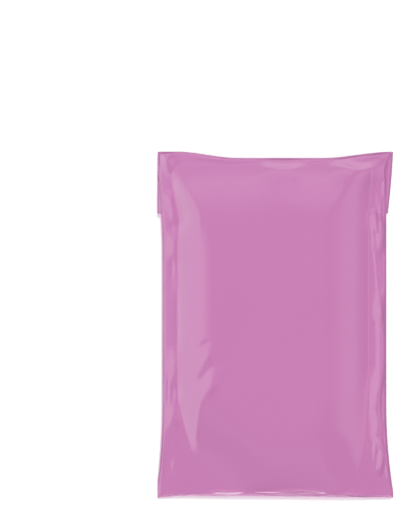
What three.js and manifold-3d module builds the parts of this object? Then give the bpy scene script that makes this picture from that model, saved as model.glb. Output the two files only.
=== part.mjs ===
// A small poly mailer, six inches by nine, filled, sealed and lying on its back.
//
// The whole bag is one sheet of opaque pink film. The sheet is folded at the bottom edge and
// welded down both sides. Its lip is folded over the top edge and glued down on the back, where
// it is the closure flap. The soft contents pull the welds in between the flat corner tips, and
// the spare film beside each weld lies in one long tuck.
//
// Millimetres, +Z up. The origin is on the surface that the bag lies on, under the middle of its
// outline. +X is the right side of the front panel and +Y is the closed top edge.

import * as THREE from "three";
import { mergeVertices } from "three/addons/utils/BufferGeometryUtils.js";
import Module from "manifold-3d";

// Overall sizes
const bagWidth = 152.4; // over both welds, measured at the corner tips
const bagLength = 224; // bottom fold to top fold, measured at the corner tips
const filledHeight = 20; // from the surface to the crown of the front panel
const seamHeight = 8; // from the surface to the welds at half length
const pressedDepth = 0.5; // how far the contents would bulge below the surface if it weren't there

// Film edges
const weldThickness = 0.4; // the melted bead where two films join
const weldWidth = 1.3;
const flapDepth = 40; // top fold to the flap's free edge
const flapThickness = 0.2; // how far the flap stands proud of the back panel
const flapSlant = 3.6; // how far the right side of the flap runs in at its free edge

// How far the contents pull each edge in from the straight line between the corner tips
const sidePull = { left: 3.7, right: 4.3 };
const topSag = 4.2;
const bottomSag = 2;
const cornerDroop = 3; // how far the flat corner tips hang below the welds
const cornerReach = 24;

// Where the pull on an edge starts, measured from a corner tip, and how far on it is complete
const pullAlong = {
  leftFromTop: { start: 12, run: 56 },
  leftFromBottom: { start: 10, run: 52 },
  rightFromTop: { start: 0, run: 15 },
  rightFromBottom: { start: 4, run: 56 },
  topFromLeft: { start: 12, run: 40 },
  topFromRight: { start: 0, run: 46 },
  bottomFromLeft: { start: 0, run: 26 },
  bottomFromRight: { start: 0, run: 120 },
};

// The tuck beside each weld is a low margin of spare film. The margin is narrow at the corner
// tips, and wider where the fold that comes from the corner meets it.
const marginWidth = { left: 9.6, right: 9 };
const marginAtTips = 3;
const marginLift = 2.4; // how high the margin lies above the weld
const marginTurn = 1.2; // how quickly the film rises from the weld to the margin
const marginTaper = { top: 13, bottom: 16 };
const cornerFold = {
  top: { at: 43, reach: 9, widening: 0.4 },
  bottom: { at: 38, reach: 12, widening: 0.4 },
};
const tuckDepth = 1; // depth of the groove between the margin and the shoulder
const tuckWidth = 1.7;

// How far the front panel takes to climb from each edge or tuck to the crown
const shoulder = { left: 19, right: 22, top: 30, bottom: 36 };
const bottomRoundness = 0.35; // how much of the climb from the bottom fold is a quarter round

// The same for the back panel, down to the surface
const backShoulder = { side: 27, top: 60, bottom: 34 };
const backRoundness = 0.3;

// The single folds of the front panel. Each runs from one point over a middle point to another,
// and every point is [distance in from the side, distance in from the end] at the named corner.
// A rise above zero is a ridge and one below zero is a valley.
const folds = [
  { corner: "topLeft", path: [[3, 7], [9, 22], [17, 42]], rise: -0.9, width: 3 },
  { corner: "topLeft", path: [[8, 26], [8.5, 41], [8, 60]], rise: 0.6, width: 2.6 },
  { corner: "topLeft", path: [[30, 20], [44, 33], [60, 48]], rise: 0.4, width: 6 },
  { corner: "bottomLeft", path: [[34, 94], [30, 85], [25, 75]], rise: -0.8, width: 3 },
  { corner: "bottomLeft", path: [[38, 83], [32, 69], [26, 57]], rise: 0.8, width: 3.2 },
  { corner: "bottomLeft", path: [[7, 94], [8, 78], [9, 58]], rise: 0.5, width: 2.4 },
  { corner: "bottomLeft", path: [[5, 46], [4.5, 30], [3.5, 12]], rise: 0.7, width: 2.4 },
  { corner: "bottomLeft", path: [[5, 6], [17, 18], [32, 28]], rise: -0.6, width: 4.5 },
  { corner: "topRight", path: [[3, 6], [10, 18], [20, 31]], rise: -0.9, width: 3 },
  { corner: "topRight", path: [[14, 39], [13, 60], [10, 94]], rise: 0.8, width: 2.4 },
  { corner: "topRight", path: [[8, 90], [9.5, 113], [11, 130]], rise: 0.7, width: 2.4 },
  { corner: "bottomRight", path: [[13, 70], [12.5, 56], [10.5, 40]], rise: 0.9, width: 2.6 },
  { corner: "bottomRight", path: [[10.5, 36], [10, 26], [11, 15]], rise: 0.8, width: 2.4 },
  { corner: "bottomRight", path: [[4, 5], [15, 17], [29, 27]], rise: -0.6, width: 4.5 },
];
const foldSteps = 8; // straight lengths that a fold's line is measured on
const foldFade = 0.9; // share of a fold's length over which its height swells and fades

// The puckers under the top fold, where the lip was pulled tight: how far in from the left corner
// tip, how far below the top fold, half of the length and of the depth of each, and its height
const puckers = [
  { across: 36, below: 7, halfLong: 16, halfDeep: 3.2, rise: 0.5 },
  { across: 82, below: 9, halfLong: 14, halfDeep: 3.4, rise: 0.8 },
  { across: 128, below: 9.5, halfLong: 15, halfDeep: 4.2, rise: 1.2 },
];
const heldBeside = 3; // how far in from an edge the folds and puckers reach their full height

// The steps of the mesh: short where the film is folded, long on the crown
const step = { margin: 1.9, shoulder: 2.9, crown: 12, bottom: 3.2, middle: 4.5, flap: 2.5 };

const halfWidth = bagWidth / 2;
const halfLength = bagLength / 2;
const crownLift = filledHeight - seamHeight;
const flapLine = halfLength - flapDepth;

const clamp01 = (t) => Math.min(1, Math.max(0, t));
const bell = (t) => Math.exp(-t * t);

// Film that leaves a fold or a weld at a slope and levels out
const ease = (t) => 1 - (1 - clamp01(t)) ** 2;

// Film that turns over a fold as a quarter round does
const roll = (t) => Math.sqrt(ease(t));

const rounded = (t, roundness) => roundness * roll(t) + (1 - roundness) * ease(t);
const pulled = (distance, { start, run }) => ease((distance - start) / run);
const curved = (distance, { start, run }) => THREE.MathUtils.smoothstep(distance, start, start + run);

// The outline, seen from above
function leftEdge(y) {
  const fromTop = pulled(halfLength - y, pullAlong.leftFromTop);
  const fromBottom = pulled(halfLength + y, pullAlong.leftFromBottom);
  return -halfWidth + sidePull.left * fromTop * fromBottom;
}

function rightEdge(y) {
  const fromTop = pulled(halfLength - y, pullAlong.rightFromTop);
  const fromBottom = pulled(halfLength + y, pullAlong.rightFromBottom);
  return halfWidth - sidePull.right * fromTop * fromBottom;
}

function topEdge(x) {
  const fromLeft = curved(halfWidth + x, pullAlong.topFromLeft);
  const fromRight = curved(halfWidth - x, pullAlong.topFromRight);
  return halfLength - topSag * fromLeft * fromRight;
}

function bottomEdge(x) {
  const fromLeft = pulled(halfWidth + x, pullAlong.bottomFromLeft);
  const fromRight = pulled(halfWidth - x, pullAlong.bottomFromRight);
  return -halfLength + bottomSag * fromLeft * fromRight;
}

// The right side of the flap, which runs in towards its free edge
function flapRight(y) {
  const down = clamp01((halfLength - y) / flapDepth);
  return halfWidth - flapSlant * down ** 1.3;
}

// Distances of a point from the four edges, none of them below zero
function insets(x, y) {
  return {
    left: Math.max(0, x - leftEdge(y)),
    right: Math.max(0, rightEdge(y) - x),
    top: Math.max(0, topEdge(x) - y),
    bottom: Math.max(0, y - bottomEdge(x)),
  };
}

// The height of the plane in which the two films meet. It sinks towards the corner tips.
function meetingHeight(x, y) {
  const fromTip = Math.hypot(halfWidth - Math.abs(x), halfLength - Math.abs(y));
  return seamHeight - cornerDroop * bell(fromTip / cornerReach);
}

// The width of the margin beside a weld
function marginAt(width, y) {
  const fromTop = Math.max(0, halfLength - y);
  const fromBottom = Math.max(0, halfLength + y);
  const topShare = 1 - Math.exp(-fromTop / marginTaper.top);
  const bottomShare = 1 - Math.exp(-fromBottom / marginTaper.bottom);
  const widened =
    1 +
    cornerFold.top.widening * bell((fromTop - cornerFold.top.at) / cornerFold.top.reach) +
    cornerFold.bottom.widening * bell((fromBottom - cornerFold.bottom.at) / cornerFold.bottom.reach);
  return marginAtTips + (width * widened - marginAtTips) * topShare * bottomShare;
}

// The climb of the front panel from one weld, as a share of the whole climb
function frontSide(inset, margin, climb) {
  const lift = marginLift / crownLift;
  const fromWeld = Math.max(0, inset - weldWidth);
  return lift * (1 - Math.exp(-fromWeld / marginTurn)) + (1 - lift) * ease((inset - margin) / climb);
}

// The folds as sampled curves in the frame of the bag
const cornerSigns = { topLeft: [-1, 1], topRight: [1, 1], bottomLeft: [-1, -1], bottomRight: [1, -1] };
const foldLines = folds.map(({ corner, path, rise, width }) => {
  const [sideSign, endSign] = cornerSigns[corner];
  const toBag = ([side, end]) =>
    new THREE.Vector2(sideSign * (halfWidth - side), endSign * (halfLength - end));
  return { line: new THREE.SplineCurve(path.map(toBag)).getPoints(foldSteps), rise, width };
});

// The height that one fold adds at a point. It swells from one end of the fold and fades to the
// other.
function foldHeight({ line, rise, width }, x, y) {
  let nearest = Infinity;
  let along = 0;
  for (let i = 0; i < foldSteps; i++) {
    const dx = line[i + 1].x - line[i].x;
    const dy = line[i + 1].y - line[i].y;
    const share = clamp01(((x - line[i].x) * dx + (y - line[i].y) * dy) / (dx * dx + dy * dy));
    const away = Math.hypot(x - line[i].x - share * dx, y - line[i].y - share * dy);
    if (away < nearest) {
      nearest = away;
      along = (i + share) / foldSteps;
    }
  }
  const swell = Math.sin(Math.PI * (0.5 + foldFade * (along - 0.5)));
  return rise * bell(nearest / width) * swell;
}

// The groove at the inner edge of both margins
function tuckHeight({ left, right, top, bottom }, y) {
  const leftTuck = bell((left - marginAt(marginWidth.left, y)) / tuckWidth);
  const rightTuck = bell((right - marginAt(marginWidth.right, y)) / tuckWidth);
  const ends = ease(top / shoulder.top) * ease(bottom / shoulder.bottom);
  return -tuckDepth * (leftTuck + rightTuck) * ends;
}

function puckerHeight({ across, below, halfLong, halfDeep, rise }, x, top) {
  return rise * bell((x + halfWidth - across) / halfLong) * bell((top - below) / halfDeep);
}

// The height of the front panel
function frontHeight(x, y) {
  const inset = insets(x, y);
  const dome =
    crownLift *
    frontSide(inset.left, marginAt(marginWidth.left, y), shoulder.left) *
    frontSide(inset.right, marginAt(marginWidth.right, y), shoulder.right) *
    ease(inset.top / shoulder.top) *
    rounded(inset.bottom / shoulder.bottom, bottomRoundness);
  let wrinkles = tuckHeight(inset, y);
  for (const fold of foldLines) wrinkles += foldHeight(fold, x, y);
  for (const pucker of puckers) wrinkles += puckerHeight(pucker, x, inset.top);
  const held =
    ease((Math.min(inset.left, inset.right) - weldWidth) / heldBeside) *
    ease(Math.min(inset.top, inset.bottom) / heldBeside);
  return meetingHeight(x, y) + weldThickness / 2 + Math.max(0, dome + held * wrinkles);
}

// The height of the back panel, before the surface presses it flat
function backHeight(x, y) {
  const inset = insets(x, y);
  const bulge =
    (seamHeight + pressedDepth) *
    ease((inset.left - weldWidth) / backShoulder.side) *
    ease((inset.right - weldWidth) / backShoulder.side) *
    ease(inset.top / backShoulder.top) *
    rounded(inset.bottom / backShoulder.bottom, backRoundness);
  return meetingHeight(x, y) - weldThickness / 2 - bulge;
}

// Places through a list of breaks, with the given number of steps from each break to the next
function placesThrough(breaks, counts) {
  const places = [breaks[0]];
  counts.forEach((count, i) => {
    for (let k = 1; k <= count; k++)
      places.push(THREE.MathUtils.lerp(breaks[i], breaks[i + 1], k / count));
  });
  return places;
}

const stepsIn = (span, length) => Math.max(1, Math.round(span / length));

// Columns follow the welds, the tucks and the shoulders.
const crownWidth =
  bagWidth - marginWidth.left - shoulder.left - marginWidth.right - shoulder.right;
const columnCounts = [
  1,
  stepsIn(marginWidth.left, step.margin),
  stepsIn(shoulder.left, step.shoulder),
  stepsIn(crownWidth, step.crown),
  stepsIn(shoulder.right, step.shoulder),
  stepsIn(marginWidth.right, step.margin),
  1,
];

function columnsAt(y) {
  const left = leftEdge(y);
  const right = rightEdge(y);
  const leftTuck = left + marginAt(marginWidth.left, y);
  const rightTuck = right - marginAt(marginWidth.right, y);
  const breaks = [
    left,
    left + weldWidth,
    leftTuck,
    leftTuck + shoulder.left,
    rightTuck - shoulder.right,
    rightTuck,
    right - weldWidth,
    right,
  ];
  return placesThrough(breaks, columnCounts);
}

// Rows follow the bottom fold, its shoulder, the flap's free edge and the top fold.
const rowCounts = [
  stepsIn(shoulder.bottom, step.bottom),
  stepsIn(bagLength - shoulder.bottom - flapDepth, step.middle),
  stepsIn(flapDepth, step.flap),
];

function rowsAt(x) {
  const bottom = bottomEdge(x);
  return placesThrough([bottom, bottom + shoulder.bottom, flapLine, topEdge(x)], rowCounts);
}

// The grid that both panels and the flap share, as rows of [x, y] from the bottom fold up
const grid = rowsAt(halfWidth).map((tipY, row) => columnsAt(tipY).map((x) => [x, rowsAt(x)[row]]));

// A closed solid between an upper and a lower height over the rows of a grid
function slab(rows, upper, lower) {
  const places = rows.flat();
  const columns = rows[0].length;
  const count = places.length;
  const position = [
    ...places.flatMap(([x, y]) => [x, y, upper(x, y)]),
    ...places.flatMap(([x, y]) => [x, y, lower(x, y)]),
  ];
  const index = [];
  const quad = (a, b, c, d) => index.push(a, b, c, a, c, d);
  for (let row = 1; row < rows.length; row++)
    for (let column = 1; column < columns; column++) {
      const d = row * columns + column - 1;
      const a = d - columns;
      quad(a, a + 1, d + 1, d);
      quad(count + a, count + d, count + d + 1, count + a + 1);
    }
  const wall = (a, b) => quad(a, count + a, count + b, b);
  for (let column = 1; column < columns; column++) {
    wall(column - 1, column);
    wall(count - column, count - column - 1);
  }
  for (let row = 1; row < rows.length; row++) {
    wall(row * columns, (row - 1) * columns);
    wall(row * columns - 1, (row + 1) * columns - 1);
  }
  return new THREE.BufferGeometry()
    .setAttribute("position", new THREE.Float32BufferAttribute(position, 3))
    .setIndex(index);
}

// The closure flap, which follows the back panel down from the top fold. Its sides keep more of
// the film's width than the pulled-in welds, so they show beyond them.
function flap() {
  const flapRows = grid.slice(-1 - rowCounts.at(-1)).map((row) => {
    const leftY = row[0][1];
    const rightY = row.at(-1)[1];
    return [[-halfWidth, leftY], ...row.slice(1, -1), [flapRight(rightY), rightY]];
  });
  return slab(flapRows, meetingHeight, (x, y) => backHeight(x, y) - flapThickness);
}

// The surface that the bag lies on, as deep as the bag is high
function surface() {
  const block = new THREE.BoxGeometry(2 * bagWidth, 2 * bagLength, filledHeight);
  block.translate(0, 0, -filledHeight / 2);
  block.deleteAttribute("normal");
  block.deleteAttribute("uv");
  return mergeVertices(block);
}

const wasm = await Module();
wasm.setup();

// A three.js geometry as a solid, and a solid as a three.js geometry
function solidOf(geometry) {
  const vertProperties = new Float32Array(geometry.attributes.position.array);
  const triVerts = new Uint32Array(geometry.index.array);
  return new wasm.Manifold(new wasm.Mesh({ numProp: 3, vertProperties, triVerts }));
}

function geometryOf(solid) {
  const { vertProperties, triVerts } = solid.getMesh();
  const geometry = new THREE.BufferGeometry()
    .setAttribute("position", new THREE.BufferAttribute(vertProperties, 3))
    .setIndex(new THREE.BufferAttribute(triVerts, 1));
  geometry.computeVertexNormals();
  return geometry;
}

const pinkFilm = new THREE.MeshStandardMaterial({ color: 0xc980b5, roughness: 0.2, metalness: 0 });

// Both panels and the glued flap are one film, and the surface presses the lowest of it flat.
const panels = solidOf(slab(grid, frontHeight, backHeight));
const mailer = panels.add(solidOf(flap())).subtract(solidOf(surface()));

const bag = new THREE.Mesh(geometryOf(mailer), pinkFilm);
bag.name = "mailer_bag";

const model = new THREE.Group();
model.add(bag);

export default model;
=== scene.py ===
"""A filled and sealed poly mailer of glossy pink film, lying on its back under studio light.

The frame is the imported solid. Two pieces stand for it here: the bag itself, as one closed film
surface with its welds, tucks and folds, and the closure flap that is glued down on its back.
"""

import math

import bpy
import numpy as np
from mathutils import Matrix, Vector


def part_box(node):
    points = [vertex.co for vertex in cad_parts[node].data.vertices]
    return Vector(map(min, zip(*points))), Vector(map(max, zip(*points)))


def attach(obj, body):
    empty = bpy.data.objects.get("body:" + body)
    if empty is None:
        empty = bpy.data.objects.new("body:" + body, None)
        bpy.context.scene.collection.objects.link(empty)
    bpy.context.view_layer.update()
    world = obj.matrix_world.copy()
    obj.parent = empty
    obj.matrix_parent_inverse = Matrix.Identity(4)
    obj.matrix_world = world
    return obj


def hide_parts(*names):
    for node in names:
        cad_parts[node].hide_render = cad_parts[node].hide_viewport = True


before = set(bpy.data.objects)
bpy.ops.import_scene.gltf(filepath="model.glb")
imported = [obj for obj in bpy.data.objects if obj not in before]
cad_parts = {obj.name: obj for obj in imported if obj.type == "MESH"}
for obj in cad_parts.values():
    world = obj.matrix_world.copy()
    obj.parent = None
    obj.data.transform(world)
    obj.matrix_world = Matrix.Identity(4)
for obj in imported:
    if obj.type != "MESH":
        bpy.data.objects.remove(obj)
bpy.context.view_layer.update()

bl_info = {
    "name": "Poly mailer bag",
    "version": (1, 0, 0),
    "blender": (4, 5, 0),
    "location": "View3D > Sidebar > Mailer",
    "description": "Builds a filled poly mailer of glossy film, and the studio stage round it",
    "category": "Add Mesh",
}

NODE = "mailer_bag"
BODY = "root"
MM = 0.001

LOW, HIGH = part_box(NODE)
CAD_WIDTH = HIGH.x - LOW.x
CAD_LENGTH = HIGH.y - LOW.y

# Every size from here to the stage is in millimetres.
CROWN_HEIGHT = 20.0
SEAM_HEIGHT = 8.0
# How far the back panel would reach below the surface if it weren't pressed flat
PRESSED_DEPTH = 0.5

WELD_WIDTH = 1.3
BEAD_HEIGHT = 0.2
BEAD_WIDTH = 0.3
FILM_HALF = 0.12

FLAP_DEPTH = 40.0
# How far the flap's right side leans in at its lower edge, and the power of its lean on the way
FLAP_SLANT = 3.6
FLAP_SLANT_POWER = 1.3
FLAP_FILM = 0.16
FLAP_GAP = 0.02
# How far the flap's two sides stand off the back, and how wide that rim is
FLAP_CURL = 1.2
FLAP_CURL_WIDTH = 1.3

# How far the filling pulls each edge in, and how far and how wide each corner tip droops
PULL_LEFT = 3.2
PULL_RIGHT = 4.7
TOP_SAG = 4.2
BOTTOM_SAG = 1.5
CORNER_DROOP = 3.0
CORNER_REACH = 24.0

# Where the pull on an edge starts, measured from a corner tip, and how far on it is complete
PULL_ALONG = {
    "left_from_top": (12.0, 56.0),
    "left_from_bottom": (10.0, 52.0),
    "right_from_top": (0.0, 15.0),
    "right_from_bottom": (4.0, 56.0),
    "top_from_left": (12.0, 40.0),
    "top_from_right": (0.0, 46.0),
    "bottom_from_left": (0.0, 26.0),
    "bottom_from_right": (0.0, 120.0),
}

# The margins beside the two welds: full width, width at the tips, rise over the seam with the run
# of its turn, rise of the left one's ramp, and the runs over which they taper to the tips
MARGIN_LEFT = 9.6
MARGIN_RIGHT = 11.4
MARGIN_AT_TIPS = 3.0
MARGIN_LIFT = 1.2
MARGIN_TURN = 0.4
MARGIN_RAMP = 0.5
MARGIN_TAPER_TOP = 13.0
MARGIN_TAPER_BOTTOM = 16.0
# The tuck at the foot of the left shoulder
TUCK_DEPTH = 0.2
TUCK_WIDTH = 1.8
# The hollow at the top left: distance from the tip, reach along the side, and depth
HOLLOW_TOP = (44.0, 9.0, 1.8)

# The contents leave both bottom corners flat. Where they start to draw away from the welds,
# measured from the tips, over which length they do so, and how far in they end at each side
CORNER_START = 70.0
CORNER_RUN = 48.0
CORNER_IN_LEFT = 11.0
CORNER_IN_RIGHT = 5.0
# How much shorter the left shoulder gets towards its corner, from where, and over which length
CORNER_NARROWING = 15.5
CORNER_NARROWING_START = 76.0
CORNER_NARROWING_RUN = 42.0
# The share of the climb that is missing at the bottom left and the bottom right tip, how far from
# a tip that starts, and over which distance it is complete
CORNER_SUNK = (1.0, 0.4)
SUNK_START = 76.0
SUNK_RUN = 46.0

# The shoulders of the front panel: the run of each climb from its margin or lip to the crown
SHOULDER_LEFT = 23.5
SHOULDER_RIGHT = 30.0
SHOULDER_TOP = 38.0
SHOULDER_BOTTOM = 42.0
# How much shorter the left shoulder gets towards the top, from where, and over which length
SHOULDER_NARROWING = 3.0
NARROWING_START = 74.0
NARROWING_RUN = 32.0
CROWN_SWELL = 1.4
# The level lips along the two end folds, how much wider the top one is at the left tip, and the
# reach of that
TOP_LIP = 4.2
BOTTOM_LIP = 2.4
LIP_AT_TIP = 4.4
LIP_TAPER = 32.0
# The puckers that close the lip at the top fold: place from the left tip, and half their length
LIP_PUCKERS = ((81.0, 15.0), (127.0, 15.0))
BOTTOM_ROUNDNESS = 0.2
TOP_MITRE = 5.0
BOTTOM_MITRE = 2.0

BACK_SHOULDER_SIDE = 27.0
BACK_SHOULDER_TOP = 60.0
BACK_SHOULDER_BOTTOM = 34.0
BACK_ROUNDNESS = 0.3

# The signs of the side and of the end at which each corner lies
CORNERS = {
    "top_left": (-1, 1),
    "top_right": (1, 1),
    "bottom_left": (-1, -1),
    "bottom_right": (1, -1),
}

# The folds of the front panel. Each has its corner, the widths of its outer flank, towards the
# outline, and of its inner flank, towards the crown, and the points of its line. A point gives
# the distance in from the side, the distance in from the end, and the rise of the fold there:
# above zero for a ridge and below zero for a valley.
FOLDS = [
    # The left margin, from the top corner down
    ("top_left", 3.0, 4.4, [
        (5.2, 0, 1.4), (5.6, 5, 2.7), (6.4, 9, 2.2), (8.4, 13, 0.9), (10.5, 18, 0),
    ]),
    ("top_left", 3.0, 5.5, [(6.6, 24, 0), (8.4, 31, 1.2), (10.4, 38, 1.2), (12.6, 47, 0)]),
    ("top_left", 2.8, 4.6, [
        (9, 20, 0), (12.6, 31, -0.8), (15.8, 39, -0.9), (17.6, 45, -0.7), (17.5, 54, 0),
    ]),
    ("top_left", 4.5, 3.0, [
        (12, 12, 0), (17, 21, 0.6), (21.5, 29, 0.7), (24.5, 38, 0.5), (26.5, 50, 0),
    ]),
    ("top_left", 1.4, 1.6, [(8.5, 45, 0), (9.3, 50, -0.4), (10, 58, 0)]),
    ("top_left", 4.6, 3.4, [(10, 49, 0), (11.2, 57, 1.5), (11.6, 65, 1.3), (11.8, 74, 0)]),
    ("top_left", 1.2, 1.4, [(9.5, 67, 0), (9.3, 74, -0.6), (9, 82, 0)]),
    ("top_left", 1.8, 1.4, [(11.9, 70, 0), (12.2, 84, 0.4), (12.3, 98, 0)]),
    ("bottom_left", 4.6, 3.0, [(12.8, 99, 0), (12.4, 90, 1.4), (12.2, 82, 1.4), (11.8, 70, 0)]),
    ("bottom_left", 0.6, 0.7, [(6.5, 82, 0), (6.6, 70, -0.3), (6.2, 58, 0)]),
    ("bottom_left", 0.8, 0.8, [(8, 76, 0), (8, 68, 0.35), (7.8, 58, 0)]),
    ("bottom_left", 0.9, 0.9, [(11.9, 76, 0), (11.8, 68, 0.4), (11.4, 60, 0)]),
    ("bottom_left", 4.6, 4.0, [(11.4, 66, 0), (11, 58, 1.5), (10, 50, 1.5), (8, 39, 0)]),
    ("bottom_left", 1.2, 1.4, [(4.4, 46, 0), (3.4, 34, 1.1), (2.4, 20, 1), (1.4, 6, 0)]),
    ("bottom_left", 1.1, 1.2, [(6.8, 44, 0), (6.9, 36, 0.35), (6.3, 28, 0)]),
    ("bottom_left", 2.0, 1.8, [(11, 27, 0), (10.8, 21, 0.6), (9.5, 15, 0)]),
    # The left shoulder: two bays and the ridges below them
    ("bottom_left", 2.4, 2.4, [(35, 102, 0), (30, 99.5, -0.4), (24, 94, 0)]),
    ("bottom_left", 2.6, 2.2, [(36, 97, 0), (32, 91, 0.8), (28, 84, 0)]),
    ("bottom_left", 2.6, 2.3, [(38, 88, 0), (33.5, 84, -0.5), (29.5, 79, -0.8), (25.5, 74, 0)]),
    ("bottom_left", 4.4, 3.2, [
        (41, 85, 0), (37.5, 79, 1.2), (34.6, 73, 1.7), (30.4, 67, 1.4), (27, 60, 0.8),
        (25.4, 49, 0.4), (25, 38, 0),
    ]),
    ("top_left", 2.0, 1.4, [(26.5, 36, 0), (27.3, 46, 0.35), (27, 58, 0)]),
    # The right margin, from the top corner down
    ("top_right", 0.6, 1.7, [(4.2, 14, 0), (5.2, 21, 1.7), (5.4, 27, 1.4), (5.2, 33, 0)]),
    ("top_right", 0.9, 1.2, [(10.2, 22, 0), (10.2, 31, 0.5), (10.4, 40, 0)]),
    ("top_right", 0.7, 1.1, [(8.4, 27, 0), (8.5, 36, 1.2), (8.4, 44, 1.2), (8.2, 52, 0)]),
    ("top_right", 2.2, 3.6, [
        (8.6, 40, 0), (8.0, 48, 1.9), (8.2, 55, 2.5), (8.9, 62, 2.4), (9.7, 69, 0),
    ]),
    ("top_right", 1.0, 3.6, [(12.6, 36.5, 0), (11.8, 42, 2.1), (11.3, 48, 1.7), (11, 54, 0)]),
    ("top_right", 0.8, 1.0, [
        (13.6, 48, 0), (12.7, 60, 0.7), (11.7, 70, 0.8), (10.3, 86, 0.8), (9, 102, 0),
    ]),
    ("top_right", 2.5, 2.7, [
        (9.8, 84, 0), (8.8, 96, 1.4), (8.2, 108, 1.5), (8.2, 120, 1.4), (8.3, 135, 1.4),
        (8.4, 146, 1.4), (9.4, 158, 0),
    ]),
    ("top_right", 1.2, 4.6, [(9, 92, 0), (8.4, 104, 1.6), (8.4, 113, 0.4), (8.4, 122, 0)]),
    ("bottom_right", 2.4, 5.2, [
        (8.6, 86, 0), (9.6, 73, 2.6), (10.2, 64, 3), (9.8, 55, 2.6), (8.8, 46, 2.6),
        (9.4, 37, 1.8), (10.8, 29, 0),
    ]),
    ("bottom_right", 0.8, 1.4, [(11.4, 39, 0), (12.1, 30, 0.8), (12.6, 18, 0)]),
    ("bottom_right", 1.0, 3.4, [
        (8.6, 40, 0), (7.4, 34, 2.2), (7.2, 27, 2.8), (8, 20, 2.4), (9.4, 13, 0),
    ]),
    ("bottom_right", 0.8, 1.9, [
        (5.4, 38, 0), (4.8, 30, 1.6), (4.2, 22, 1.6), (2.8, 13, 1.2), (1.5, 6, 0),
    ]),
    ("bottom_right", 0.6, 1.1, [
        (5.2, 78, 0), (5.9, 66, 0.8), (5.8, 50, 0.8), (5.2, 40, 0.7), (4.9, 31, 0),
    ]),
    # The puckers and the creases under the top fold
    ("top_left", 2.7, 8.5, [(66, 7.5, 0), (74, 11, 1.3), (84, 12.2, 1.4), (97, 8.6, 0)]),
    ("top_left", 4.0, 9.0, [
        (110, 7, 0), (120, 11, 2), (130, 13.2, 2.5), (138, 11.6, 3.2), (142.5, 7.5, 2.6),
        (145, 1.5, 0),
    ]),
    ("top_right", 1.6, 1.3, [(20, 4, 0.2), (12, 3.2, 1.1), (6, 2.2, 0.9), (1, 0.8, 0)]),
    ("top_left", 0.5, 0.5, [(22, 3.4, 0), (34, 5, 0.35), (52, 6, 0)]),
    ("top_left", 0.5, 0.5, [(60, 5.6, 0), (76, 5.9, 0.4), (94, 6, 0)]),
    # The creases over the bottom fold
    ("bottom_left", 0.9, 0.9, [(34, 4.4, 0), (39, 4.5, 0.9), (51, 4.5, 0.9), (56, 4.3, 0)]),
    ("bottom_left", 0.9, 0.9, [(75, 4.4, 0), (81, 4.6, 0.9), (102, 4.6, 0.9), (108, 4.4, 0)]),
    ("bottom_right", 0.8, 0.8, [(34, 3, 0), (29, 2.5, 0.8), (20, 1.6, 0.8), (14, 1.2, 0)]),
]
# Straight steps along each fold's line, and how many flank widths away from it a fold reaches
FOLD_STEPS = 24
FOLD_REACH = 3.0
# The run over which the folds fade in beside the welds and the end folds
HELD_BESIDE = 0.9

# Steps of the mesh from each break to the next, and the depths of the rows at the bottom fold and
# of the finer rows at the top fold
COLUMN_STEPS = (4, 21, 26, 34, 26, 20, 4)
ROW_STEPS = (14, 40, 184, 50)
BOTTOM_ROWS = 5.0
TOP_ROWS = 24.0
FLAP_STEPS_ACROSS = 90
FLAP_STEPS_DOWN = 48

# The tint of the film's gloss, and the clouds in its colour: how many to a metre, and the share by
# which they are darker and lighter
SHEEN_TINT = (0.95, 1.0, 0.97, 1)
CLOUD_SCALE = 18.0
CLOUD_DEPTH = 0.015
# The places of the two colours and of the result among the sockets of a Mix node
MIX_FIRST_COLOUR = 6
MIX_SECOND_COLOUR = 7
MIX_RESULT_COLOUR = 2

# The stage, in metres and degrees
PANEL_DISTANCE = 1.2
# The glowing panels: azimuth from +X, half of the spread, the two angles from straight up between
# which the panel reaches, and its light at even steps from the higher end to the lower one, as
# shares on the way from the fill to its own radiance
LEFT_PANEL = (177, 29, (4, 88), (0, 0.3, 0.6, 0.8, 0.86, 0.9, 1, 1.2, 1.5))
LOW_PANEL = (214, 9, (32, 88), (0.2, 0.9, 1, 1))
CORNER_PANEL = (135, 14, (4, 84), (0.05, 0.3, 0.4, 0.5, 0.4, 0.5, 0.6, 0.6, 0.6))
TOP_PANEL = (90, 32, (4, 84), (0.05, 0.2, 0.34, 0.5, 0.6, 0.3, 0.9, 1.1, 1.1))
RIGHT_PANEL = (0, 28, (8, 68), (0, 0.2, 0.45, 0.85, 0.95, 0.3, 0))
FRONT_PANEL = (258, 42, (4, 50), (0, 0.3, 1, 0.6, 0))
GLINT_PANEL = (270, 16, (66, 86), (1, 1))
FLOOR_SIZE = 8.0
FLOOR_ALBEDO = 0.35
# What the camera sees of the floor: the colour of its diffuse part, and the glow that fills it up
# to white where it is lit in full
FLOOR_SHADE = (0.70, 1.27, 0.88)
FLOOR_GLOW = (0.44, 0.0, 0.30)
# The two soft suns: tilt towards the top edge, turn towards the right, angular size, and share of
# the sun light
SUNS = ((20, 6, 11, 1.3), (-3, 2, 20, 0.7))
LENS = 171.0
SENSOR = 36.0
CAMERA_PLACE = (-0.0488, 0.0468, 1.557)


def ease(t):
    """Film that leaves a fold at a slope and levels out: one minus the square of what is left."""
    return 1 - (1 - np.clip(t, 0, 1)) ** 2


def roll(t):
    """A quarter round: the square root of ease, steep at first."""
    return np.sqrt(ease(t))


def smooth(t):
    """The S-shaped blend 3t squared minus 2t cubed."""
    t = np.clip(t, 0, 1)
    return t * t * (3 - 2 * t)


def bell(t):
    """The bell curve: e to the minus t squared."""
    return np.exp(-t * t)


def rounded(t, roundness):
    """A blend of the quarter round and of the ease, by the share that is round."""
    return roundness * roll(t) + (1 - roundness) * ease(t)


def pulled(distance, along):
    """The share of an edge's pull at a distance from a corner tip: an ease over its run."""
    start, run = along
    return ease((distance - start) / run)


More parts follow.
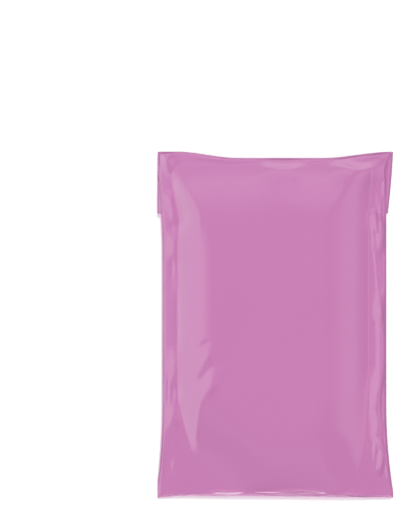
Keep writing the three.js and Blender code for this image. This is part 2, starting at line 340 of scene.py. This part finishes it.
class Outline:
    """The outline of the bag from above: straight lines between the corner tips, less the pull."""

    def __init__(self, width, length):
        """Keeps half of the width and half of the length over the corner tips."""
        self.half_width = width / 2
        self.half_length = length / 2

    def left(self, y):
        """The left edge: its straight line, plus the pull times its shares from both tips."""
        top = pulled(self.half_length - y, PULL_ALONG["left_from_top"])
        bottom = pulled(self.half_length + y, PULL_ALONG["left_from_bottom"])
        return -self.half_width + PULL_LEFT * top * bottom

    def right(self, y):
        """The right edge: its straight line, less the pull times its shares from both tips."""
        top = pulled(self.half_length - y, PULL_ALONG["right_from_top"])
        bottom = pulled(self.half_length + y, PULL_ALONG["right_from_bottom"])
        return self.half_width - PULL_RIGHT * top * bottom

    def top(self, x):
        """The top fold: its straight line, less the sag times an S-shaped blend from each tip."""
        start, run = PULL_ALONG["top_from_left"]
        left = smooth((self.half_width + x - start) / run)
        start, run = PULL_ALONG["top_from_right"]
        right = smooth((self.half_width - x - start) / run)
        return self.half_length - TOP_SAG * left * right

    def bottom(self, x):
        """The bottom fold: its straight line, plus the sag times its shares from both tips."""
        left = pulled(self.half_width + x, PULL_ALONG["bottom_from_left"])
        right = pulled(self.half_width - x, PULL_ALONG["bottom_from_right"])
        return -self.half_length + BOTTOM_SAG * left * right

    def insets(self, x, y):
        """Distances of points from the left, right, top and bottom edges, none below zero."""
        return (
            np.maximum(0, x - self.left(y)),
            np.maximum(0, self.right(y) - x),
            np.maximum(0, self.top(x) - y),
            np.maximum(0, y - self.bottom(x)),
        )

    def margin(self, width, y):
        """The width of the margin beside a weld: its width at the tips, plus the rest times a
        taper from each tip, which is one less e to the minus distance."""
        down = np.maximum(0, self.half_length - y)
        up = np.maximum(0, self.half_length + y)
        taper = (1 - np.exp(-down / MARGIN_TAPER_TOP)) * (1 - np.exp(-up / MARGIN_TAPER_BOTTOM))
        return MARGIN_AT_TIPS + (width - MARGIN_AT_TIPS) * taper

    def margins(self, y):
        """The widths of the left and the right margin. Both are wider by an S-shaped blend where
        the contents leave the bottom corners flat, and the left one by a bell at its hollow."""
        flat = smooth((CORNER_START - self.half_length - y) / CORNER_RUN)
        left = self.margin(MARGIN_LEFT, y) + self.hollow(y) + CORNER_IN_LEFT * flat
        return left, self.margin(MARGIN_RIGHT, y) + CORNER_IN_RIGHT * flat

    def hollow(self, y):
        """The depth of the hollow in the left margin: a bell along the side."""
        at, reach, depth = HOLLOW_TOP
        return depth * bell((self.half_length - y - at) / reach)

    def left_shoulder(self, y):
        """The run of the left shoulder: shorter beside the hollow, so that the crown keeps its
        side, and by S-shaped blends shorter towards the top and towards the bottom corner."""
        top = smooth((NARROWING_START - self.half_length + y) / NARROWING_RUN)
        corner = smooth((CORNER_NARROWING_START - self.half_length - y) / CORNER_NARROWING_RUN)
        run = SHOULDER_LEFT - SHOULDER_NARROWING * top - CORNER_NARROWING * corner
        return run - self.hollow(y)

    def kept_climb(self, x, y):
        """The share of the climb that is kept: one, less an S-shaped blend of the distance from
        the nearer bottom tip, times the share that is missing at that tip."""
        from_tip = np.hypot(self.half_width - abs(x), self.half_length + y)
        depth = np.where(x < 0, CORNER_SUNK[0], CORNER_SUNK[1])
        return 1 - depth * smooth((SUNK_START - from_tip) / SUNK_RUN)


def fold_line(outline, corner, path):
    """A smooth line through a fold's points, in the bag's frame: the Catmull-Rom cubic of each
    point, the next one and their two neighbours. Its third column is the rise."""
    side_sign, end_sign = CORNERS[corner]
    points = np.array(path, float)
    points[:, 0] = side_sign * (outline.half_width - points[:, 0])
    points[:, 1] = end_sign * (outline.half_length - points[:, 1])
    padded = np.vstack((2 * points[0] - points[1], points, 2 * points[-1] - points[-2]))
    at = np.linspace(0, len(points) - 1, FOLD_STEPS + 1)
    first = np.minimum(at.astype(int), len(points) - 2)
    t = (at - first)[:, None]
    a, b, c, d = (padded[first + k] for k in range(4))
    return 0.5 * (
        2 * b + (c - a) * t + (2 * a - 5 * b + 4 * c - d) * t**2 + (3 * b - a - 3 * c + d) * t**3
    )


def fold_height(outline, fold, x, y):
    """The height that one fold adds: the rise at the nearest point of its line, times a bell of
    the distance from there. The inner width holds on the side of the line on which the bag's
    centre lies, and the outer width on the other one."""
    corner, outer, inner, path = fold
    line = fold_line(outline, corner, path)
    rise = line[:, 2]
    line = line[:, :2]
    reach = FOLD_REACH * max(outer, inner)
    low = line.min(0) - reach
    high = line.max(0) + reach
    near = (x > low[0]) & (x < high[0]) & (y > low[1]) & (y < high[1])
    points = np.column_stack((x[near], y[near]))
    start = line[:-1]
    step = line[1:] - start
    offset = points[:, None, :] - start[None]
    share = np.clip((offset * step).sum(2) / (step * step).sum(1), 0, 1)
    away = offset - share[..., None] * step
    distance = np.hypot(away[..., 0], away[..., 1])
    best = distance.argmin(1)
    row = np.arange(len(points))
    share = share[row, best]
    here = rise[best] + (rise[best + 1] - rise[best]) * share
    chord = line[-1] - line[0]
    centre_side = np.sign(-chord[0] * line[0][1] + chord[1] * line[0][0])
    offset = offset[row, best]
    side = np.sign(step[best, 0] * offset[:, 1] - step[best, 1] * offset[:, 0]) * centre_side
    width = np.where(side > 0, inner, outer)
    height = np.zeros_like(x)
    height[near] = here * bell(distance[row, best] / width)
    return height


def meeting_height(outline, x, y):
    """The plane in which the two films meet: level, and lower near the corner tips by a bell."""
    from_tip = np.hypot(outline.half_width - abs(x), outline.half_length - abs(y))
    return SEAM_HEIGHT - CORNER_DROOP * bell(from_tip / CORNER_REACH)


def short_of(distance, run):
    """How far a point still is from the crown, as a share of a shoulder: one at its foot."""
    return 1 - np.clip(distance / run, 0, 1)


def top_lip(outline, x):
    """The width of the level lip along the top fold: wider by a bell at the left tip, and closed
    by a bell at each pucker."""
    from_tip = outline.half_width + x
    closed = sum(bell((from_tip - place) / reach) for place, reach in LIP_PUCKERS)
    return TOP_LIP * (1 - closed) + LIP_AT_TIP * bell(from_tip / LIP_TAPER)


def joined(a, b, mitre):
    """Two shares as one: the sum of both to the power of the mitre, and its root of that degree.
    A high mitre keeps the crease between the two shoulders, and a low one cuts the corner off."""
    return (a**mitre + b**mitre) ** (1 / mitre)


def front_dome(outline, x, y):
    """The climb of the front panel over the seam. A narrow turn at the edges is followed by a
    margin that is level on the right and a ramp on the left. From there the film eases up the
    shoulders, by less near the bottom tips, while the ramp fades out, and a slight swell, the
    product of one minus x squared and one minus y squared, makes the crown."""
    left, right, top, bottom = outline.insets(x, y)
    margin_left, margin_right = outline.margins(y)
    side = short_of(left - margin_left, outline.left_shoulder(y)) + short_of(
        right - margin_right, SHOULDER_RIGHT
    )
    top_end = short_of(top - top_lip(outline, x), SHOULDER_TOP)
    bottom_end = short_of(bottom - BOTTOM_LIP, SHOULDER_BOTTOM)
    side = np.minimum(side, 1)
    far = np.where(
        y > 0, joined(side, top_end, TOP_MITRE), joined(side, bottom_end, BOTTOM_MITRE)
    )
    round_share = BOTTOM_ROUNDNESS * bottom_end**2
    climb = outline.kept_climb(x, y) * rounded(1 - far, round_share)
    inset = np.minimum(np.minimum(left, right), np.minimum(top, bottom)) - 2 * BEAD_WIDTH
    lift = 1 - np.exp(-np.maximum(0, inset) / MARGIN_TURN)
    swell = (1 - (x / outline.half_width) ** 2) * (1 - (y / outline.half_length) ** 2)
    shoulder = CROWN_HEIGHT - SEAM_HEIGHT - MARGIN_LIFT - CROWN_SWELL
    ramp = MARGIN_RAMP * np.minimum(1, left / margin_left) * (1 - climb)
    return MARGIN_LIFT * lift + ramp + shoulder * climb + CROWN_SWELL * np.maximum(0, swell)


def edge_bead(left, right, top, bottom):
    """Half of the film's thickness: plain film with a bell for the bead along both welds, which a
    quarter round closes at every edge."""
    side = np.minimum(left, right)
    bead = BEAD_HEIGHT * bell((side - BEAD_WIDTH) / BEAD_WIDTH)
    folded = roll(np.minimum(top, bottom) / BEAD_WIDTH)
    return (FILM_HALF + bead) * folded * roll(side / BEAD_WIDTH)


def front_height(outline, x, y):
    """The front panel: the seam plane plus half of the film, and over them the dome plus the sum
    of the folds, less a bell for the tuck at the inner side of the left margin. Folds and tuck
    fade in beside the edges."""
    left, right, top, bottom = outline.insets(x, y)
    margin_left, _ = outline.margins(y)
    tuck = TUCK_DEPTH * bell((left - margin_left) / TUCK_WIDTH)
    wrinkles = -tuck * ease(top / SHOULDER_TOP) * ease(bottom / SHOULDER_BOTTOM)
    for fold in FOLDS:
        wrinkles = wrinkles + fold_height(outline, fold, x, y)
    inset = np.minimum(np.minimum(left, right), np.minimum(top, bottom))
    held = ease((inset - 2 * BEAD_WIDTH) / HELD_BESIDE)
    bead = edge_bead(left, right, top, bottom)
    film = np.maximum(0, front_dome(outline, x, y) + held * wrinkles)
    return meeting_height(outline, x, y) + bead + film


def back_height(outline, x, y):
    """The back panel: the seam plane, less half of the film and the product of four shoulders,
    and never below zero, where the surface presses it flat."""
    left, right, top, bottom = outline.insets(x, y)
    bulge = (
        (SEAM_HEIGHT + PRESSED_DEPTH)
        * ease((left - WELD_WIDTH) / BACK_SHOULDER_SIDE)
        * ease((right - WELD_WIDTH) / BACK_SHOULDER_SIDE)
        * ease(top / BACK_SHOULDER_TOP)
        * rounded(bottom / BACK_SHOULDER_BOTTOM, BACK_ROUNDNESS)
    )
    bead = edge_bead(left, right, top, bottom)
    return np.maximum(0, meeting_height(outline, x, y) - bead - bulge)


def through(breaks, steps):
    """Places through rows of breaks: straight from each break to the next, in the given number
    of even steps."""
    segment = np.repeat(np.arange(len(steps)), steps)
    share = np.concatenate([np.arange(count) / count for count in steps])
    segment = np.append(segment, len(steps) - 1)
    share = np.append(share, 1.0)
    breaks = np.stack(np.broadcast_arrays(*breaks), axis=-1)
    start = breaks[..., segment]
    return start + (breaks[..., segment + 1] - start) * share


def bag_grid(outline):
    """The grid of both panels. Its columns follow the welds, the margins and the shoulders, and
    its rows are shares of the way from the bottom fold to the top fold."""
    half = outline.half_length
    tips = (-half, -half + BOTTOM_ROWS, -half + SHOULDER_BOTTOM, half - TOP_ROWS, half)
    straight = through(tips, ROW_STEPS)
    left = outline.left(straight)
    right = outline.right(straight)
    margin_left, margin_right = outline.margins(straight)
    left_foot = left + margin_left
    right_foot = right - margin_right
    x = through(
        (
            left,
            left + WELD_WIDTH,
            left_foot,
            left_foot + SHOULDER_LEFT,
            right_foot - SHOULDER_RIGHT,
            right_foot,
            right - WELD_WIDTH,
            right,
        ),
        COLUMN_STEPS,
    )
    low = outline.bottom(x)
    share = ((straight + half) / (2 * half))[:, None]
    y = low + share * (outline.top(x) - low)
    return x, y


def flap_grid(outline):
    """The grid of the closure flap, and the distance of its points from the nearer side. It runs
    from the left tip to a right side that leans in by a power of the way down, and from the top
    fold down to a straight lower edge."""
    down = np.linspace(1, 0, FLAP_STEPS_DOWN + 1)[:, None]
    across = np.linspace(0, 1, FLAP_STEPS_ACROSS + 1)[None]
    right = outline.half_width - FLAP_SLANT * down**FLAP_SLANT_POWER
    x = -outline.half_width + across * (right + outline.half_width)
    top = outline.top(x)
    y = top - down * (top - outline.half_length + FLAP_DEPTH)
    return x, y, np.minimum(x + outline.half_width, right - x)


def flap_height(outline, x, y, edge):
    """The glued face of the flap: a small gap under the back panel, and lower by a bell towards
    both sides, where the film stands off."""
    return back_height(outline, x, y) - FLAP_GAP - FLAP_CURL * bell(edge / FLAP_CURL_WIDTH)


def slab_mesh(name, x, y, upper, lower):
    """A closed mesh over one grid of places: the grid at its upper height, the same grid turned
    over at its lower height, and a wall of quads along the rim."""
    rows, columns = x.shape
    count = rows * columns
    points = np.concatenate(
        (
            np.column_stack((x.ravel(), y.ravel(), upper.ravel())),
            np.column_stack((x.ravel(), y.ravel(), lower.ravel())),
        )
    )
    ids = np.arange(count).reshape(rows, columns)
    cells = np.stack((ids[:-1, :-1], ids[:-1, 1:], ids[1:, 1:], ids[1:, :-1]), axis=-1)
    top_faces = cells.reshape(-1, 4)
    under_faces = top_faces[:, ::-1] + count
    rim = np.concatenate((ids[0, :-1], ids[:-1, -1], ids[-1, :0:-1], ids[:0:-1, 0]))
    after = np.roll(rim, -1)
    walls = np.column_stack((rim, rim + count, after + count, after))
    faces = np.concatenate((top_faces, under_faces, walls))
    mesh = bpy.data.meshes.new(name)
    mesh.vertices.add(len(points))
    mesh.vertices.foreach_set("co", (points * MM).astype(np.float32).ravel())
    mesh.loops.add(faces.size)
    mesh.loops.foreach_set("vertex_index", faces.astype(np.int32).ravel())
    mesh.polygons.add(len(faces))
    mesh.polygons.foreach_set("loop_start", np.arange(0, faces.size, 4, dtype=np.int32))
    mesh.update(calc_edges=True)
    mesh.validate()
    mesh.polygons.foreach_set("use_smooth", np.ones(len(mesh.polygons), bool))
    return mesh


def add_piece(name, mesh, material):
    """Links a finished mesh as a piece that rides on the root body and stands for the solid."""
    piece = bpy.data.objects.new(name, mesh)
    bpy.context.scene.collection.objects.link(piece)
    mesh.materials.append(material)
    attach(piece, BODY)
    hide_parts(NODE)
    return piece


def film_material(film):
    """Glossy pink film: a tinted gloss over a plain pink that has faint clouds of noise."""
    material = bpy.data.materials.get("pink_mailer_film")
    if material:
        return material
    material = bpy.data.materials.new("pink_mailer_film")
    material.use_nodes = True
    nodes = material.node_tree.nodes
    links = material.node_tree.links
    shader = nodes["Principled BSDF"]
    shader.inputs["Roughness"].default_value = film.roughness
    shader.inputs["IOR"].default_value = film.ior
    shader.inputs["Specular Tint"].default_value = SHEEN_TINT
    shader.inputs["Base Color"].default_value = (*film.colour, 1)
    place = nodes.new("ShaderNodeTexCoord")
    clouds = nodes.new("ShaderNodeTexNoise")
    clouds.inputs["Scale"].default_value = CLOUD_SCALE
    links.new(place.outputs["Object"], clouds.inputs["Vector"])
    darker = [channel * (1 - CLOUD_DEPTH) for channel in film.colour]
    lighter = [min(1, channel * (1 + CLOUD_DEPTH)) for channel in film.colour]
    blend = nodes.new("ShaderNodeMix")
    blend.data_type = "RGBA"
    blend.inputs[MIX_FIRST_COLOUR].default_value = (*darker, 1)
    blend.inputs[MIX_SECOND_COLOUR].default_value = (*lighter, 1)
    links.new(clouds.outputs["Fac"], blend.inputs["Factor"])
    links.new(blend.outputs[MIX_RESULT_COLOUR], shader.inputs["Base Color"])
    return material


class MailerShape(bpy.types.PropertyGroup):
    """The sizes of the bag."""

    width: bpy.props.FloatProperty(
        name="Width",
        description="Width over both welds at the corner tips",
        default=CAD_WIDTH,
        unit="LENGTH",
    )
    length: bpy.props.FloatProperty(
        name="Length",
        description="Length from the bottom fold to the top fold at the corner tips",
        default=CAD_LENGTH,
        unit="LENGTH",
    )


class MailerFilm(bpy.types.PropertyGroup):
    """The finish of the film."""

    colour: bpy.props.FloatVectorProperty(
        name="Film colour",
        description="Colour of the opaque film",
        subtype="COLOR",
        size=3,
        default=(0.560, 0.190, 0.438),
    )
    roughness: bpy.props.FloatProperty(
        name="Roughness",
        description="How blurred the film's reflections are",
        default=0.13,
        subtype="FACTOR",
    )
    ior: bpy.props.FloatProperty(
        name="Index of refraction",
        description="Index of refraction of polyethylene",
        default=1.5,
    )


class MailerStage(bpy.types.PropertyGroup):
    """The light of the panels, which only reflections see, and of the suns and the surroundings."""

    left_light: bpy.props.FloatProperty(
        name="Left light", description="Radiance of the left and the low panel", default=3.25
    )
    top_light: bpy.props.FloatProperty(
        name="Top light", description="Radiance of the top and the corner panel", default=2.8
    )
    right_light: bpy.props.FloatProperty(
        name="Right light", description="Radiance of the right panel", default=1.6
    )
    front_light: bpy.props.FloatProperty(
        name="Front light", description="Radiance of the panel in front", default=0.95
    )
    glint_light: bpy.props.FloatProperty(
        name="Glint light", description="Radiance of the low strip in front", default=11.0
    )
    sun_light: bpy.props.FloatProperty(
        name="Sun light", description="Irradiance of a soft sun with a share of one", default=0.84
    )
    fill_light: bpy.props.FloatProperty(
        name="Fill light", description="Radiance of the surroundings", default=0.52
    )


class MAILER_OT_film_bag(bpy.types.Operator):
    """Builds the filled film bag as one closed surface"""

    bl_idname = "mailer.film_bag"
    bl_label = "Film bag"

    def execute(self, context):
        scene = context.scene
        outline = Outline(scene.mailer_shape.width / MM, scene.mailer_shape.length / MM)
        x, y = bag_grid(outline)
        mesh = slab_mesh(
            "film_bag", x, y, front_height(outline, x, y), back_height(outline, x, y)
        )
        piece = add_piece("film_bag", mesh, film_material(scene.mailer_film))
        return {"FINISHED"}


class MAILER_OT_closure_flap(bpy.types.Operator):
    """Builds the closure flap that is glued down on the back panel"""

    bl_idname = "mailer.closure_flap"
    bl_label = "Closure flap"

    def execute(self, context):
        scene = context.scene
        outline = Outline(scene.mailer_shape.width / MM, scene.mailer_shape.length / MM)
        x, y, edge = flap_grid(outline)
        glued = flap_height(outline, x, y, edge)
        mesh = slab_mesh("closure_flap", x, y, glued, glued - FLAP_FILM)
        add_piece("closure_flap", mesh, film_material(scene.mailer_film))
        return {"FINISHED"}


def panel_glow(name, zeniths, radiances):
    """The glow of a light panel: a smooth curve through its radiances, which are evenly spaced in
    the angle from straight up. That angle is the arc tangent of the distance over the height."""
    material = bpy.data.materials.new(name)
    material.use_nodes = True
    nodes = material.node_tree.nodes
    links = material.node_tree.links
    nodes.clear()
    out = nodes.new("ShaderNodeOutputMaterial")
    glow = nodes.new("ShaderNodeEmission")
    place = nodes.new("ShaderNodeTexCoord")
    parts = nodes.new("ShaderNodeSeparateXYZ")
    angle = nodes.new("ShaderNodeMath")
    angle.operation = "ARCTAN2"
    angle.inputs[0].default_value = PANEL_DISTANCE
    reach = nodes.new("ShaderNodeMapRange")
    reach.inputs["From Min"].default_value = math.radians(zeniths[0])
    reach.inputs["From Max"].default_value = math.radians(zeniths[1])
    curve = nodes.new("ShaderNodeFloatCurve")
    line = curve.mapping.curves[0]
    brightest = max(radiances)
    line.points[0].location = (0, radiances[0] / brightest)
    line.points[1].location = (1, radiances[-1] / brightest)
    for step, radiance in enumerate(radiances[1:-1], 1):
        line.points.new(step / (len(radiances) - 1), radiance / brightest)
    curve.mapping.update()
    scale = nodes.new("ShaderNodeMath")
    scale.operation = "MULTIPLY"
    scale.inputs[1].default_value = brightest
    links.new(place.outputs["Object"], parts.inputs[0])
    links.new(parts.outputs["Z"], angle.inputs[1])
    links.new(angle.outputs[0], reach.inputs["Value"])
    links.new(reach.outputs[0], curve.inputs["Value"])
    links.new(curve.outputs[0], scale.inputs[0])
    links.new(scale.outputs[0], glow.inputs["Strength"])
    links.new(glow.outputs[0], out.inputs["Surface"])
    return material


def studio_panel(name, layout, light, fill):
    """A glowing panel that only reflections see. It stands upright at an azimuth from +X, plus and
    minus a spread, and its radiance goes from the fill, at a share of none, to the light, at a
    share of one."""
    azimuth, spread, zeniths, shares = layout
    half = PANEL_DISTANCE * math.tan(math.radians(spread))
    high, low = (PANEL_DISTANCE / math.tan(math.radians(zenith)) for zenith in zeniths)
    out = np.array((math.cos(math.radians(azimuth)), math.sin(math.radians(azimuth)), 0))
    across = np.array((-out[1], out[0], 0))
    up = np.array((0, 0, 1))
    corners = [
        out * PANEL_DISTANCE + across * side * half + up * height
        for side, height in ((1, low), (-1, low), (-1, high), (1, high))
    ]
    mesh = bpy.data.meshes.new(name)
    mesh.from_pydata([tuple(corner) for corner in corners], [], [(0, 1, 2, 3)])
    mesh.materials.append(
        panel_glow(name, zeniths, [fill + (light - fill) * share for share in shares])
    )
    panel = bpy.data.objects.new(name, mesh)
    bpy.context.scene.collection.objects.link(panel)
    panel.visible_camera = False
    panel.visible_diffuse = False
    panel.visible_shadow = False


def floor_material():
    """A white floor. For the camera its diffuse part is tinted, and a glow fills it up to white
    where it is lit in full, so that the shadow of the film comes out faintly pink."""
    material = bpy.data.materials.new("pale_floor")
    material.use_nodes = True
    nodes = material.node_tree.nodes
    links = material.node_tree.links
    nodes.clear()
    out = nodes.new("ShaderNodeOutputMaterial")
    plain = nodes.new("ShaderNodeBsdfDiffuse")
    plain.inputs["Color"].default_value = (FLOOR_ALBEDO, FLOOR_ALBEDO, FLOOR_ALBEDO, 1)
    tinted = nodes.new("ShaderNodeBsdfDiffuse")
    tinted.inputs["Color"].default_value = (*FLOOR_SHADE, 1)
    glow = nodes.new("ShaderNodeEmission")
    glow.inputs["Color"].default_value = (*FLOOR_GLOW, 1)
    both = nodes.new("ShaderNodeAddShader")
    path = nodes.new("ShaderNodeLightPath")
    mix = nodes.new("ShaderNodeMixShader")
    links.new(path.outputs["Is Camera Ray"], mix.inputs["Fac"])
    links.new(tinted.outputs[0], both.inputs[0])
    links.new(glow.outputs[0], both.inputs[1])
    links.new(plain.outputs[0], mix.inputs[1])
    links.new(both.outputs[0], mix.inputs[2])
    links.new(mix.outputs[0], out.inputs["Surface"])
    return material


def surroundings(fill):
    """The world: an even pale fill, and white to the camera."""
    world = bpy.data.worlds.new("surroundings")
    world.use_nodes = True
    nodes = world.node_tree.nodes
    links = world.node_tree.links
    background = nodes["Background"]
    background.inputs["Color"].default_value = (1, 1, 1, 1)
    path = nodes.new("ShaderNodeLightPath")
    mix = nodes.new("ShaderNodeMix")
    mix.inputs["A"].default_value = fill
    mix.inputs["B"].default_value = 1.0
    links.new(path.outputs["Is Camera Ray"], mix.inputs["Factor"])
    links.new(mix.outputs[0], background.inputs["Strength"])
    return world


def add_floor(scene):
    """A square floor at the height of the surface that the bag lies on."""
    half = FLOOR_SIZE / 2
    mesh = bpy.data.meshes.new("floor")
    mesh.from_pydata(
        [(-half, -half, 0), (half, -half, 0), (half, half, 0), (-half, half, 0)],
        [],
        [(0, 1, 2, 3)],
    )
    mesh.materials.append(floor_material())
    floor = bpy.data.objects.new("floor", mesh)
    scene.collection.objects.link(floor)


def add_suns(scene, light):
    """The soft suns. They light the film's colour and stay out of its reflections."""
    for tilt, turn, blur, share in SUNS:
        lamp = bpy.data.lights.new("soft_sun", "SUN")
        lamp.energy = light * share
        lamp.angle = math.radians(blur)
        sun = bpy.data.objects.new("soft_sun", lamp)
        sun.rotation_euler = (-math.radians(tilt), math.radians(turn), 0)
        sun.visible_glossy = False
        scene.collection.objects.link(sun)


def add_camera(scene):
    """A camera that looks straight down on the bag from a distance."""
    data = bpy.data.cameras.new("camera")
    data.lens = LENS
    data.sensor_width = SENSOR
    camera = bpy.data.objects.new("camera", data)
    scene.collection.objects.link(camera)
    camera.location = CAMERA_PLACE
    scene.camera = camera


class MAILER_OT_stage(bpy.types.Operator):
    """Builds the light panels, the floor, the soft suns, the surroundings and the camera"""

    bl_idname = "mailer.stage"
    bl_label = "Studio stage"

    def execute(self, context):
        scene = context.scene
        settings = scene.mailer_stage
        fill = settings.fill_light
        studio_panel("left_panel", LEFT_PANEL, settings.left_light, fill)
        studio_panel("low_panel", LOW_PANEL, settings.left_light, fill)
        studio_panel("corner_panel", CORNER_PANEL, settings.top_light, fill)
        studio_panel("top_panel", TOP_PANEL, settings.top_light, fill)
        studio_panel("right_panel", RIGHT_PANEL, settings.right_light, fill)
        studio_panel("front_panel", FRONT_PANEL, settings.front_light, fill)
        studio_panel("glint_panel", GLINT_PANEL, settings.glint_light, fill)
        add_floor(scene)
        add_suns(scene, settings.sun_light)
        scene.world = surroundings(fill)
        add_camera(scene)
        scene.view_settings.view_transform = "Standard"
        return {"FINISHED"}


class MAILER_PT_sidebar(bpy.types.Panel):
    """Lists the pieces of the mailer and the stage"""

    bl_label = "Poly mailer bag"
    bl_idname = "MAILER_PT_sidebar"
    bl_space_type = "VIEW_3D"
    bl_region_type = "UI"
    bl_category = "Mailer"

    def draw(self, context):
        for operator in (MAILER_OT_film_bag, MAILER_OT_closure_flap, MAILER_OT_stage):
            self.layout.operator(operator.bl_idname)


CLASSES = (
    MailerShape,
    MailerFilm,
    MailerStage,
    MAILER_OT_film_bag,
    MAILER_OT_closure_flap,
    MAILER_OT_stage,
    MAILER_PT_sidebar,
)


def register():
    """Registers the classes and hangs the settings on the scene."""
    for item in CLASSES:
        bpy.utils.register_class(item)
    bpy.types.Scene.mailer_shape = bpy.props.PointerProperty(type=MailerShape)
    bpy.types.Scene.mailer_film = bpy.props.PointerProperty(type=MailerFilm)
    bpy.types.Scene.mailer_stage = bpy.props.PointerProperty(type=MailerStage)


def unregister():
    """Takes the settings and the classes away again."""
    del bpy.types.Scene.mailer_stage
    del bpy.types.Scene.mailer_film
    del bpy.types.Scene.mailer_shape
    for item in reversed(CLASSES):
        bpy.utils.unregister_class(item)


def main():
    """Builds every piece in order."""
    register()
    bpy.ops.mailer.film_bag()
    bpy.ops.mailer.closure_flap()
    bpy.ops.mailer.stage()


if __name__ == "__main__":
    main()
